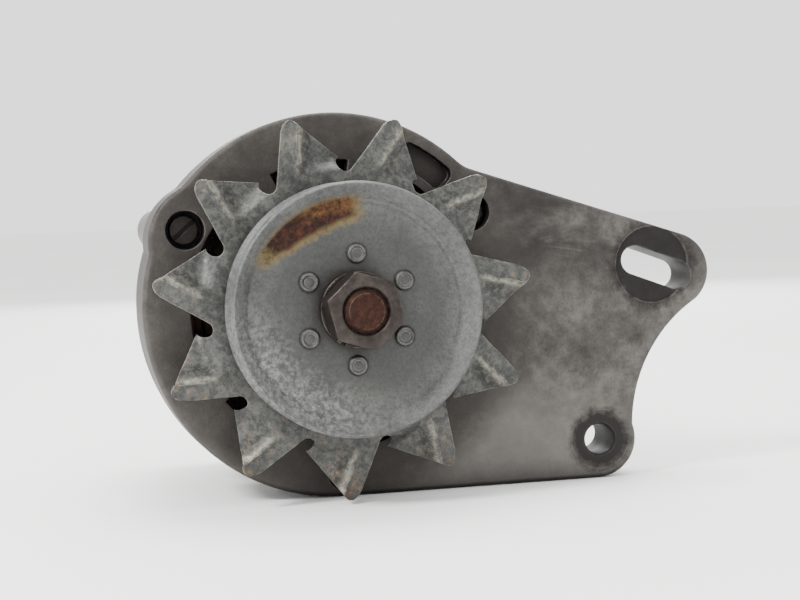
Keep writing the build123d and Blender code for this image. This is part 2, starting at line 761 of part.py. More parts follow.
def cover_slots():
    """Rows of air slots in the back of the cover."""
    slots = []
    for n in range(5):
        height = -10.0 - 6.0 * n
        half = math.sqrt(40.0 ** 2 - height ** 2) - (16.0 if n < 2 else 4.0)
        slots.append(Pos(0, height) * SlotOverall(2 * half, 3.0))
    return slots


def rear_cover():
    """Moulded cup over the rectifier, brushes and regulator."""
    cover = rod(coverRadius, rearBack, coverBack)
    cover = fillet(cover.faces().sort_by(Axis.Y)[-1].edges(), 3.0)
    cover -= rod(coverRadius - coverWall, rearBack - 1, coverBack - coverWall)
    for angle in postAngles:
        cover -= rod(coverScrew + fit, coverCutFront, coverCutRear, *polar(postCircle, angle))
    cover -= rod(5.3, coverCutFront, coverCutRear, studX, studZ)
    cover -= box(bladeLow - 0.6, bladeHigh + 0.6, coverCutFront, coverCutRear, bladeZ - 0.6, bladeZ + 1.4)
    for slot in cover_slots():
        cover -= prism(slot, coverCutFront, coverCutRear)
    return cover


def cover_screws():
    screws = []
    for angle in postAngles:
        x, z = polar(postCircle, angle)
        head = rod(3.8, coverBack, coverBack + 2.8, x, z)
        head -= Pos(x, coverBack + 2.8, z) * Box(9.0, 2.4, 1.1)
        screws.append(head + rod(coverScrew, 95.0, coverBack, x, z))
    return screws


def main():
    os.makedirs("parts", exist_ok=True)
    frontOuter, frontInner = race_pair(frontBearing)
    rearOuter, rearInner = race_pair(rearBearing)
    nodes = {
        "drive_end_bracket": drive_end_bracket(),
        "bearing_retainer": bearing_retainer(),
        "retainer_screws": countersunk_screws(),
        "front_outer_race": frontOuter,
        "front_inner_race": frontInner,
        "front_cage": bearing_cage(frontBearing),
        "front_balls": bearing_balls(frontBearing),
        "front_shields": [bearing_shield(frontBearing, 5.6), bearing_shield(frontBearing, 16.0)],
        "rear_outer_race": rearOuter,
        "rear_inner_race": rearInner,
        "rear_cage": bearing_cage(rearBearing),
        "rear_balls": bearing_balls(rearBearing),
        "pulley_front_disc": pulley_front_disc(),
        "pulley_rear_disc": pulley_rear_disc(),
        "pulley_hub_spacer": pulley_hub_spacer(),
        "pulley_rivets": pulley_rivets(),
        "shaft_nut": shaft_nut(),
        "spring_washer": spring_washer(),
        "cooling_fan": cooling_fan(),
        "rotor_shaft": rotor_shaft(),
        "woodruff_key": woodruff_key(),
        "front_claw_pole": claw_pole(poleFront, 1, 0.0),
        "rear_claw_pole": claw_pole(poleRear, -1, 30.0),
        "pole_core": pole_core(),
        "coil_bobbin": coil_bobbin(),
        "field_coil": field_coil(),
        "slip_ring_inner": slip_ring(ringFronts[0]),
        "slip_ring_outer": slip_ring(ringFronts[1]),
        "slip_ring_sleeve": slip_ring_sleeve(),
        "stator_core": stator_core(),
        "rear_bracket": rear_bracket(),
        "through_bolts": through_bolts(),
        "brush_holder": brush_holder(),
        "brush_inner": brush(ringFronts[0]),
        "brush_outer": brush(ringFronts[1]),
        "brush_spring_inner": brush_spring(ringFronts[0]),
        "brush_spring_outer": brush_spring(ringFronts[1]),
        "holder_screws": holder_screws(),
        "voltage_regulator": voltage_regulator(),
        "pulley_collar": pulley_collar(),
        "fan_collar": fan_collar(),
        "negative_heat_sink": negative_heat_sink(),
        "positive_heat_sink": positive_heat_sink(),
        "negative_diodes": diodes(negativePlate),
        "positive_diodes": diodes(positivePlate),
        "insulating_bushes": insulating_bushes(),
        "rectifier_screws": rectifier_screws(),
        "exciter_board": exciter_board(),
        "exciter_diodes": exciter_diodes(),
        "terminal_blade": terminal_blade(),
        "output_stud": output_stud(),
        "output_sleeve": output_sleeve(),
        "output_nut": output_nut(),
        "rear_cover": rear_cover(),
        "cover_screws": cover_screws(),
    }
    for n, name in enumerate("uvw"):
        nodes["winding_phase_" + name] = phase_winding(n)
    for name, shape in nodes.items():
        solids = Compound(children=list(shape)) if isinstance(shape, list) else shape
        export_step(solids, f"parts/{name}.step")
        print(name)


if __name__ == "__main__":
    main()
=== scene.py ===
import json
import math
import bmesh
import bpy
from mathutils import Matrix, Vector, noise


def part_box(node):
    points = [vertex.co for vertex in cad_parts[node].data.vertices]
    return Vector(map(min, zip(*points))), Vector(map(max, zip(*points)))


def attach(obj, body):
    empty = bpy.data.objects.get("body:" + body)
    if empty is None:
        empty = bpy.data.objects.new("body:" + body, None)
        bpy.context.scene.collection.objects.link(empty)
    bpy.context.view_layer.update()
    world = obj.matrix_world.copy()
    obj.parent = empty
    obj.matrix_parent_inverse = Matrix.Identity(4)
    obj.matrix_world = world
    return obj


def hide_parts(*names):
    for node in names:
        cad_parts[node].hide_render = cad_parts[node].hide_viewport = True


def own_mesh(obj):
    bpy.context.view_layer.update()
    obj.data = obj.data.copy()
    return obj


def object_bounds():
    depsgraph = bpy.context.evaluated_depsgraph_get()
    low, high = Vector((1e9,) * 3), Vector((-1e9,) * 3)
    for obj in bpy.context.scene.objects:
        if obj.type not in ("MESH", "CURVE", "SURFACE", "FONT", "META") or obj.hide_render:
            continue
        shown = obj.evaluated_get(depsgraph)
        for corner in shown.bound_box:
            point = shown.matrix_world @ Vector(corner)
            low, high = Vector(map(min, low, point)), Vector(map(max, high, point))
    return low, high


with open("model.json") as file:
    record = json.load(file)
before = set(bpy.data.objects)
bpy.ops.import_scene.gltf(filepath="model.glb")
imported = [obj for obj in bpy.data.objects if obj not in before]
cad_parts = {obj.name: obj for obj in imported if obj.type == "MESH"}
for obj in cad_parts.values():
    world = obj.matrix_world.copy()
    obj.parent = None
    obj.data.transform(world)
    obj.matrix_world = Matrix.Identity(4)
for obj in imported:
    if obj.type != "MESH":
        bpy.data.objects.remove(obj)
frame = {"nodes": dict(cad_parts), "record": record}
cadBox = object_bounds()
nodes = frame["nodes"]
mm = 0.001
print("frame loaded:", len(nodes), "nodes")

studio = {
    "target": (0.0219, 0.0, 0.0007),
    "cameraAt": (-0.1202, -0.5822, 0.0295),
    "roll": 2.07,                       # degrees that the camera leans
    "lens": 80.53,
    "floor": ("F4F4F2", "F8F8F7"),
    "world": 1.9,
    "lights": {                         # where it stands, its size in metres, its power in watts
        "key": ((-0.8, -0.5, 0.8), 0.35, 22.0),
        "top": ((0.1, 0.3, 1.1), 0.7, 14.0),
        "back": ((0.35, 1.3, 0.6), 1.1, 16.0),
    },
}


def linear(hexColor):
    parts = [int(hexColor[n:n + 2], 16) / 255 for n in (0, 2, 4)]
    return tuple(c / 12.92 if c <= 0.04045 else ((c + 0.055) / 1.055) ** 2.4 for c in parts) + (1.0,)


def addNode(tree, kind, links=None, stops=None, out=None, **settings):
    # adds one node, sets it, fills or links its sockets, and gives back its output
    node = tree.nodes.new("ShaderNode" + kind)
    for name, value in settings.items():
        setattr(node, name, value)
    for key, value in (links or {}).items():
        socket = node.inputs[key] if isinstance(key, int) else next(
            s for s in node.inputs if s.enabled and s.name == key)
        if isinstance(value, bpy.types.NodeSocket):
            tree.links.new(value, socket)
        else:
            socket.default_value = linear(value) if isinstance(value, str) else value
    for n, (where, tone) in enumerate(stops or []):
        elements = node.color_ramp.elements
        element = elements[n] if n < len(elements) else elements.new(where)
        element.position = where
        element.color = linear(tone) if isinstance(tone, str) else (tone, tone, tone, 1.0)
    return node.outputs[out] if out else next(s for s in node.outputs if s.enabled)


def perMetre(size):
    return 1000.0 / size                # a pattern's scale from its size in mm


def between(tree, value, low, high, soft):
    # 1 between low and high, falling to 0 over the soft distance at each side
    rise = addNode(tree, "MapRange", {"Value": value, "From Min": low - soft, "From Max": low + soft})
    fall = addNode(tree, "MapRange", {"Value": value, "From Min": high + soft, "From Max": high - soft})
    return addNode(tree, "Math", {0: rise, 1: fall}, operation="MULTIPLY")


def roundTheShaft(tree, place):
    # radius in mm and angle in degrees about the shaft
    x = addNode(tree, "SeparateXYZ", {0: place}, out="X")
    z = addNode(tree, "SeparateXYZ", {0: place}, out="Z")
    squares = addNode(tree, "Math", {0: x, 1: x, 2: addNode(tree, "Math", {0: z, 1: z}, operation="MULTIPLY")},
                      operation="MULTIPLY_ADD")
    radius = addNode(tree, "Math", {0: addNode(tree, "Math", {0: squares}, operation="SQRT"), 1: 1000.0},
                     operation="MULTIPLY")
    turned = addNode(tree, "Math", {0: z, 1: x}, operation="ARCTAN2")
    angle = addNode(tree, "Math", {0: turned}, operation="DEGREES")
    return radius, angle


def agedFinish(name, look, stainsAndPaintedLight=None):
    # clouded tones, fine grain, stains with any painted light they bring, painted shade with grime in the
    # corners, and rubbed edges partly painted as highlight, in that order
    material = bpy.data.materials.new(name)
    material.use_nodes = True
    tree = material.node_tree
    shader = tree.nodes["Principled BSDF"]
    place = addNode(tree, "TexCoord", out="Object")
    clouds = addNode(tree, "TexNoise", {"Vector": place, "Scale": perMetre(look["clouds"]), "Detail": 8.0,
                                        "Roughness": 0.62, "Distortion": 0.4})
    mottle = addNode(tree, "TexNoise", {"Vector": place, "Scale": perMetre(look["mottle"]), "Detail": 6.0,
                                        "Roughness": 0.68})
    grain = addNode(tree, "TexNoise", {"Vector": place, "Scale": perMetre(look["grain"]), "Detail": 2.0,
                                       "Roughness": 0.6})
    blend = addNode(tree, "Mix", {"Factor": look.get("fine", 0.4), "A": clouds, "B": mottle})
    color = addNode(tree, "ValToRGB", {"Fac": blend}, stops=list(zip((0.37, 0.5, 0.63), look["tones"])))
    rough = addNode(tree, "MapRange", {"Value": blend, "From Min": 0.38, "From Max": 0.62,
                                       "To Min": look["rough"][0], "To Max": look["rough"][1]})
    if "specks" in look:
        amount, tone = look["specks"]
        mask = addNode(tree, "MapRange", {"Value": grain, "From Min": 0.5, "From Max": 0.38, "To Max": amount})
        color = addNode(tree, "Mix", {"Factor": mask, "A": color, "B": tone}, data_type="RGBA")
    if stainsAndPaintedLight:
        color, rough = stainsAndPaintedLight(tree, place, mottle, color, rough)
    # painted shade: ambient occlusion darkens corners and recesses, standing for shade as well as grime
    if "shadeAndGrime" in look:
        amount, reach, tone = look["shadeAndGrime"]
        shade = addNode(tree, "AmbientOcclusion", {"Distance": reach * mm}, samples=8, out="AO")
        mask = addNode(tree, "MapRange", {"Value": shade, "From Min": 0.92, "From Max": 0.3, "To Max": amount})
        color = addNode(tree, "Mix", {"Factor": mask, "A": color, "B": tone}, data_type="RGBA")
    rounded = addNode(tree, "Bevel", {"Radius": look.get("edge", 0.4) * mm}, samples=6)
    # rubbed edges: a pale tone on rounded edges and bends, partly real wear and partly painted highlight
    if "wearAndHighlight" in look:
        amount, tone = look["wearAndHighlight"]
        flat = addNode(tree, "NewGeometry", out="Normal")
        turn = addNode(tree, "VectorMath", {0: rounded, 1: flat}, operation="DOT_PRODUCT")
        edge = addNode(tree, "MapRange", {"Value": turn, "From Min": 0.985, "From Max": 0.8, "To Max": amount})
        mask = addNode(tree, "Math", {0: edge, 1: addNode(tree, "MapRange", {
            "Value": mottle, "From Min": 0.38, "From Max": 0.56})}, operation="MULTIPLY")
        color = addNode(tree, "Mix", {"Factor": mask, "A": color, "B": tone}, data_type="RGBA")
    relief = addNode(tree, "Mix", {"Factor": 0.5, "A": mottle, "B": grain})
    normal = addNode(tree, "Bump", {"Height": relief, "Distance": look["relief"] * mm, "Strength": 1.0,
                                    "Normal": rounded})
    for socket, source in (("Base Color", color), ("Roughness", rough), ("Normal", normal)):
        tree.links.new(source, shader.inputs[socket])
    for socket, value in look.get("shader", {}).items():
        shader.inputs[socket].default_value = value
    return material


def setCamera():
    data = bpy.data.cameras.new("camera")
    camera = bpy.data.objects.new("camera", data)
    bpy.context.scene.collection.objects.link(camera)
    place = Vector(studio["cameraAt"])
    aim = (Vector(studio["target"]) - place).to_track_quat("-Z", "Y").to_matrix().to_4x4()
    lean = Matrix.Rotation(math.radians(-studio["roll"]), 4, "Z")
    camera.matrix_world = Matrix.Translation(place) @ aim @ lean
    data.lens, data.sensor_width = studio["lens"], 36.0
    data.clip_start, data.clip_end = 0.01, 30.0
    bpy.context.scene.camera = camera


def setStudio():
    mesh = bmesh.new()
    bmesh.ops.create_grid(mesh, x_segments=1, y_segments=1, size=25.0)
    bmesh.ops.translate(mesh, vec=(0, 0, cadBox[0].z - 0.0002), verts=mesh.verts)
    data = bpy.data.meshes.new("floor")
    mesh.to_mesh(data)
    mesh.free()
    floor = bpy.data.objects.new("floor", data)
    bpy.context.scene.collection.objects.link(floor)
    # matt studio paint: an even pale ground with hardly any tone of its own
    paint = bpy.data.materials.new("matt studio paint")
    paint.use_nodes = True
    tree = paint.node_tree
    place = addNode(tree, "TexCoord", out="Object")
    tone = addNode(tree, "TexNoise", {"Vector": place, "Scale": perMetre(400)})
    color = addNode(tree, "ValToRGB", {"Fac": tone}, stops=list(zip((0.3, 0.7), studio["floor"])))
    tree.links.new(color, tree.nodes["Principled BSDF"].inputs["Base Color"])
    tree.nodes["Principled BSDF"].inputs["Roughness"].default_value = 0.9
    data.materials.append(paint)
    world = bpy.data.worlds.new("studio")
    bpy.context.scene.world = world
    world.use_nodes = True
    world.node_tree.nodes["Background"].inputs["Color"].default_value = (1, 1, 1, 1)
    world.node_tree.nodes["Background"].inputs["Strength"].default_value = studio["world"]
    for name, (place, size, power) in studio["lights"].items():
        lamp = bpy.data.lights.new(name, "AREA")
        lamp.shape, lamp.size, lamp.energy = "DISK", size, power
        light = bpy.data.objects.new(name, lamp)
        bpy.context.scene.collection.objects.link(light)
        light.location = place
        light.rotation_euler = (Vector(studio["target"]) - Vector(place)).to_track_quat("-Z", "Y").to_euler()


setCamera()
setStudio()
print("camera, floor and lights set")


fan = {
    "blades": 11, "firstNotch": 120.9, "notchCircle": 46.4, "notchRadius": 2.5,
    "bore": 8.52, "front": -17.0, "thickness": 1.4,
    "fold": 6.3,                        # how far the fold lies from the leading edge
    "foldAngle": 24.0, "foldWidth": 1.1, "ridge": 0.9, "dents": 0.3,
    "lean": 36.3,                       # how far the fold leans from the radius, in degrees
    "across": (-0.592, -0.806),         # direction across the blade from its leading edge, as x and z
    "edgeAt": (44.94, -2.36),           # where the leading edge meets its notch
    "skew": 0.05, "ridgeWidth": 1.2,    # how the fold drifts along the blade, and half the ridge's width
    "dimple": (0.35, 4.2, 1.3, 4.0, 5.0),   # depth, then its middle and width across and along the blade
    "tipBend": (0.5, 17.5, 1.6),        # depth, and its middle and width along the blade
    "rootBend": (0.3, 3.0, 1.5),
    "bendsFrom": 44.0, "bendsOver": 4.5,    # the sheet is flat inside this radius and bends fully after this much
    "dentsFrom": 46.0, "dentsOver": 6.0, "dentSizes": (5.0, 2.2),
    "cell": 1.3,                        # grid that the sheet bends on
}


smears = {
    "turn": 17.0,                       # degrees that the streaks slope
    "streak": (52, 40, 11),             # size of a streak along the three axes, in mm
    "reach": (58.0, 100.0, 12.0),       # radii between which they are thickest, and the soft distance, in mm
    "spread": (4.0, 32.0, 8.0),         # the same for the angle about the shaft, in degrees
    "thin": 0.1, "thick": 0.85, "tone": "23201E", "rough": 0.42,
    "cleanAngles": (-18.0, -34.0), "cleanRadii": (58.0, 70.0), "cleanTone": "7C7975",
    "bodyRadii": (72.0, 58.0), "bodyTone": "302C29",
    "spots": (((0.1123, 0.0, 0.009), 15.4), ((0.0913, 0.0, -0.0507), 11.0)),    # middle in m, reach in mm
    "spotTone": "12100F",
}


def oilSmears(tree, place, mottle, color, rough):
    # oil thrown off the fan runs along the arm and has gathered dust
    along = addNode(tree, "Mapping", {"Vector": place, "Rotation": (0.0, math.radians(smears["turn"]), 0.0),
                                      "Scale": tuple(perMetre(size) for size in smears["streak"])})
    streaks = addNode(tree, "TexNoise", {"Vector": along, "Scale": 1.0, "Detail": 6.0, "Roughness": 0.62,
                                         "Distortion": 0.7})
    smear = addNode(tree, "MapRange", {"Value": streaks, "From Min": 0.3, "From Max": 0.52})
    radius, angle = roundTheShaft(tree, place)
    reach = between(tree, radius, *smears["reach"])
    high = between(tree, angle, *smears["spread"])
    thick = addNode(tree, "Math", {0: reach, 1: high}, operation="MULTIPLY")
    arm = addNode(tree, "Math", {0: smear, 1: addNode(tree, "MapRange", {
        "Value": thick, "To Min": smears["thin"], "To Max": smears["thick"]})}, operation="MULTIPLY")
    color = addNode(tree, "Mix", {"Factor": arm, "A": color, "B": smears["tone"]}, data_type="RGBA")
    # the low corner of the arm stays cleaner than the rest
    first, last = smears["cleanAngles"]
    near, far = smears["cleanRadii"]
    below = addNode(tree, "MapRange", {"Value": angle, "From Min": first, "From Max": last, "To Max": 0.4})
    away = addNode(tree, "MapRange", {"Value": radius, "From Min": near, "From Max": far})
    clean = addNode(tree, "Math", {0: below, 1: away}, operation="MULTIPLY")
    color = addNode(tree, "Mix", {"Factor": clean, "A": color, "B": smears["cleanTone"]}, data_type="RGBA")
    # the round body is darker and browner than the arm, where it lies behind the fan
    far, near = smears["bodyRadii"]
    body = addNode(tree, "MapRange", {"Value": radius, "From Min": far, "From Max": near, "To Max": 0.72})
    color = addNode(tree, "Mix", {"Factor": body, "A": color, "B": smears["bodyTone"]}, data_type="RGBA")
    # old grease fills the two machined faces round the slot and the pivot bore
    for middle, width in smears["spots"]:
        away = addNode(tree, "VectorMath", {0: place, 1: middle}, out="Value", operation="DISTANCE")
        ragged = addNode(tree, "Math", {0: mottle, 1: 7.0 * mm, 2: away}, operation="MULTIPLY_ADD")
        mask = addNode(tree, "MapRange", {"Value": ragged, "From Min": (width + 4.8) * mm,
                                          "From Max": (width + 1.0) * mm, "To Max": 0.88})
        color = addNode(tree, "Mix", {"Factor": mask, "A": color, "B": smears["spotTone"]}, data_type="RGBA")
    return color, addNode(tree, "Mix", {"Factor": arm, "A": rough, "B": smears["rough"]})


rust = {                                # from, to and the soft distance: spans in mm, turns in degrees
    "middle": 114.0, "bend": 0.062,     # the crescent's middle angle, and how fast its inner edge bends out
    "haloSpan": (25.9, 60.0, 1.0), "haloTurn": (86.0, 154.0, 4.0),
    "coreSpan": (27.6, 60.0, 0.9), "coreTurn": (90.0, 145.0, 3.0),
    "freshSpan": (31.4, 36.0, 1.2), "freshTurn": (86.0, 118.0, 6.0),
    "haloTones": [(0.32, "4A3A22"), (0.5, "6A5C3E"), (0.68, "74694F")],
    "oldTones": [(0.34, "1A0E0B"), (0.48, "2E1811"), (0.58, "40241A"), (0.7, "5A3320")],
    "freshTones": [(0.34, "2F1C10"), (0.5, "573A21"), (0.66, "6F4D2E")],
    "ragged": 9.0, "strength": 0.9, "rough": 0.9,
}
chalk = {"span": (28.0, 42.0, 7.0), "middle": -132.0, "tone": "9A9993", "strength": 0.6}
dulled = {"from": 36.0, "to": 26.0, "strength": 0.64, "tone": "333331"}


def rustBand(tree, place, mottle, color, rough):
    # a crescent of rust by the crease at the upper left, and chalky zinc oxide at the lower left
    radius, angle = roundTheShaft(tree, place)
    fine = addNode(tree, "TexNoise", {"Vector": place, "Scale": perMetre(1.6), "Detail": 6.0, "Roughness": 0.7})
    broad = addNode(tree, "TexNoise", {"Vector": place, "Scale": perMetre(9.0), "Detail": 3.0})
    dull = addNode(tree, "MapRange", {"Value": radius, "From Min": dulled["from"], "From Max": dulled["to"],
                                      "To Max": dulled["strength"]})
    color = addNode(tree, "Mix", {"Factor": dull, "A": color, "B": dulled["tone"]}, data_type="RGBA")
    uneven = addNode(tree, "Mix", {"Factor": 0.45, "A": broad, "B": fine})
    ragged = addNode(tree, "Math", {0: uneven, 1: rust["ragged"], 2: -rust["ragged"] / 2},
                     operation="MULTIPLY_ADD")
    # the inner edge bends outwards to both ends, so the stain is a crescent
    aside = addNode(tree, "Math", {0: angle, 1: -rust["middle"]}, operation="ADD")
    off = addNode(tree, "Math", {0: aside, 1: rust["bend"]}, operation="MULTIPLY")
    bend = addNode(tree, "Math", {0: off, 1: off}, operation="MULTIPLY")
    torn = addNode(tree, "Math", {0: radius, 1: ragged}, operation="ADD")
    worn = addNode(tree, "Math", {0: torn, 1: bend}, operation="SUBTRACT")
    turn = addNode(tree, "Math", {0: ragged, 1: 1.4, 2: angle}, operation="MULTIPLY_ADD")
    skirt = addNode(tree, "MapRange", {"Value": radius, "From Min": 36.9, "From Max": 34.9})
    inside = addNode(tree, "MapRange", {"Value": radius, "From Min": 35.9, "From Max": 34.7})
    halo = addNode(tree, "Math", {0: between(tree, worn, *rust["haloSpan"]),
                                  1: between(tree, turn, *rust["haloTurn"])}, operation="MULTIPLY")
    core = addNode(tree, "Math", {0: between(tree, worn, *rust["coreSpan"]),
                                  1: between(tree, turn, *rust["coreTurn"])}, operation="MULTIPLY")
    core = addNode(tree, "Math", {0: core, 1: inside}, operation="MULTIPLY")
    stain = addNode(tree, "ValToRGB", {"Fac": fine}, stops=rust["haloTones"])
    old = addNode(tree, "ValToRGB", {"Fac": fine}, stops=rust["oldTones"])
    fresh = addNode(tree, "ValToRGB", {"Fac": fine}, stops=rust["freshTones"])
    outer = addNode(tree, "Math", {0: between(tree, radius, *rust["freshSpan"]),
                                   1: between(tree, angle, *rust["freshTurn"])}, operation="MULTIPLY")
    scale = addNode(tree, "Mix", {"Factor": outer, "A": old, "B": fresh}, data_type="RGBA")
    tint = addNode(tree, "Mix", {"Factor": core, "A": stain, "B": scale}, data_type="RGBA")
    held = addNode(tree, "Math", {0: halo, 1: skirt}, operation="MULTIPLY")
    mask = addNode(tree, "Math", {0: held, 1: rust["strength"]}, operation="MULTIPLY")
    aside = addNode(tree, "Math", {0: angle, 1: -chalk["middle"]}, operation="ADD")
    toward = addNode(tree, "Math", {0: addNode(tree, "Math", {0: aside}, operation="RADIANS")},
                     operation="COSINE")
    facing = addNode(tree, "MapRange", {"Value": toward, "From Min": 0.5, "From Max": 0.95})
    zone = addNode(tree, "Math", {0: between(tree, radius, *chalk["span"]), 1: facing}, operation="MULTIPLY")
    grains = addNode(tree, "MapRange", {"Value": fine, "From Min": 0.44, "From Max": 0.66,
                                        "To Max": chalk["strength"]})
    bloom = addNode(tree, "Math", {0: zone, 1: grains}, operation="MULTIPLY")
    color = addNode(tree, "Mix", {"Factor": bloom, "A": color, "B": chalk["tone"]}, data_type="RGBA")
    color = addNode(tree, "Mix", {"Factor": mask, "A": color, "B": tint}, data_type="RGBA")
    return color, addNode(tree, "Mix", {"Factor": mask, "A": rough, "B": rust["rough"]})


bladeRustAndFoldLight = {                          # spans across the blade from its fold, in mm: from, to, soft distance
    # the pale band is painted highlight on the fold, the dark band painted shade behind it
    "foldHighlight": (-0.7, 0.5, 0.7), "foldHighlightTone": "A9A594", "foldHighlightStrength": 0.6,
    "foldShade": (1.6, 4.2, 1.2), "foldShadeTone": "211F1D", "foldShadeStrength": 0.6,
    "wander": 3.4,                      # how far the two bands wander, in mm
    "edgeFromAxis": 24.7,               # distance of the leading edge's line from the shaft's axis, in mm
    "lowBlades": (-150.0, -55.0, 25.0),
    "rustTones": [(0.38, "38241A"), (0.5, "5F412B"), (0.62, "867258")],
    "paleTone": "7C7B75",
}


def foldLightAndRustTips(tree, place, mottle, color, rough):
    # a painted highlight along each blade's fold with a band of painted shade just behind it, and rust starts at
    # the lowest free ends
    radius, angle = roundTheShaft(tree, place)
    fine = addNode(tree, "TexNoise", {"Vector": place, "Scale": perMetre(2.2), "Detail": 7.0,
                                      "Roughness": 0.72})
    back = addNode(tree, "Math", {0: fan["firstNotch"] + 360.0, 1: angle}, operation="SUBTRACT")
    local = addNode(tree, "Math", {0: back, 1: 360.0 / fan["blades"]}, operation="MODULO")
    lean = addNode(tree, "Math", {0: addNode(tree, "Math", {0: local, 1: -fan["lean"]}, operation="ADD")},
                   operation="RADIANS")
    across = addNode(tree, "Math", {0: addNode(tree, "Math", {0: lean}, operation="SINE"), 1: radius,
                                    2: bladeRustAndFoldLight["edgeFromAxis"] - fan["fold"]}, operation="MULTIPLY_ADD")
    wander = addNode(tree, "Math", {0: mottle, 1: bladeRustAndFoldLight["wander"], 2: -bladeRustAndFoldLight["wander"] / 2},
                     operation="MULTIPLY_ADD")
    past = addNode(tree, "Math", {0: wander, 1: across}, operation="ADD")
    blade = addNode(tree, "MapRange", {"Value": radius, "From Min": 45.0, "From Max": 49.0})
    patchy = addNode(tree, "MapRange", {"Value": fine, "From Min": 0.4, "From Max": 0.56, "To Min": 0.25})
    partly = addNode(tree, "Math", {0: blade, 1: patchy}, operation="MULTIPLY")
    # painted highlight along the fold, then painted shade on the sheet just behind it
    for band, where in (("foldHighlight", partly), ("foldShade", blade)):
        strip = between(tree, past, *bladeRustAndFoldLight[band])
        here = addNode(tree, "Math", {0: strip, 1: where}, operation="MULTIPLY")
        share = addNode(tree, "MapRange", {"Value": here, "To Max": bladeRustAndFoldLight[band + "Strength"]})
        color = addNode(tree, "Mix", {"Factor": share, "A": color, "B": bladeRustAndFoldLight[band + "Tone"]},
                        data_type="RGBA")
    low = between(tree, angle, *bladeRustAndFoldLight["lowBlades"])
    outer = addNode(tree, "MapRange", {"Value": radius, "From Min": 50.0, "From Max": 64.0, "To Max": 0.08})
    lift = addNode(tree, "Math", {0: low, 1: 0.05, 2: outer}, operation="MULTIPLY_ADD")
    seed = addNode(tree, "Math", {0: fine, 1: lift}, operation="ADD")
    mask = addNode(tree, "MapRange", {"Value": seed, "From Min": 0.61, "From Max": 0.72, "To Max": 0.7})
    scale = addNode(tree, "ValToRGB", {"Fac": mottle}, stops=bladeRustAndFoldLight["rustTones"])
    pale = addNode(tree, "MapRange", {"Value": fine, "From Min": 0.46, "From Max": 0.72, "To Max": 0.5})
    color = addNode(tree, "Mix", {"Factor": pale, "A": color, "B": bladeRustAndFoldLight["paleTone"]}, data_type="RGBA")
    color = addNode(tree, "Mix", {"Factor": mask, "A": color, "B": scale}, data_type="RGBA")
    return color, addNode(tree, "Mix", {"Factor": mask, "A": rough, "B": 0.88})


def rustyEnd(tree, place, mottle, color, rough):
    # only the sawn front end of the shaft has gone brown
    depth = addNode(tree, "SeparateXYZ", {0: place}, out="Y")
    mask = addNode(tree, "MapRange", {"Value": depth, "From Min": -31.0 * mm, "From Max": -45.0 * mm})
    brown = addNode(tree, "ValToRGB", {"Fac": mottle},
                    stops=[(0.34, "24150F"), (0.5, "2F1C15"), (0.66, "3E251B")])
    color = addNode(tree, "Mix", {"Factor": mask, "A": color, "B": brown}, data_type="RGBA")
    return color, addNode(tree, "Mix", {"Factor": mask, "A": rough, "B": 0.7})


def sheetLayers(tree, place, mottle, color, rough):
    # edges of the stacked iron sheets, 0.5 mm each, drawn 1 mm apart so that they show
    depth = addNode(tree, "SeparateXYZ", {0: place}, out="Y")
    layer = addNode(tree, "Math", {0: addNode(tree, "Math", {0: depth, 1: perMetre(1.0)}, operation="MULTIPLY"),
                                   1: 0.5}, operation="PINGPONG")
    mask = addNode(tree, "MapRange", {"Value": layer, "From Min": 0.2, "From Max": 0.05, "To Max": 0.7})
    return addNode(tree, "Mix", {"Factor": mask, "A": color, "B": "15110F"}, data_type="RGBA"), rough


def woundTurns(tree, place, mottle, color, rough):
    # 1.2 mm wires lie side by side round the shaft, with dark varnish between them
    radius, angle = roundTheShaft(tree, place)
    depth = addNode(tree, "SeparateXYZ", {0: place}, out="Y")
    wander = addNode(tree, "Math", {0: mottle, 1: 2.0}, operation="MULTIPLY")
    slant = addNode(tree, "Math", {0: depth, 1: 1000.0, 2: wander}, operation="MULTIPLY_ADD")
    both = addNode(tree, "Math", {0: slant, 1: radius}, operation="ADD")
    wire = addNode(tree, "Math", {0: both, 1: 0.6}, operation="PINGPONG")
    mask = addNode(tree, "MapRange", {"Value": wire, "From Min": 0.22, "From Max": 0.04, "To Max": 0.85})
    return addNode(tree, "Mix", {"Factor": mask, "A": color, "B": "1C0A05"}, data_type="RGBA"), rough


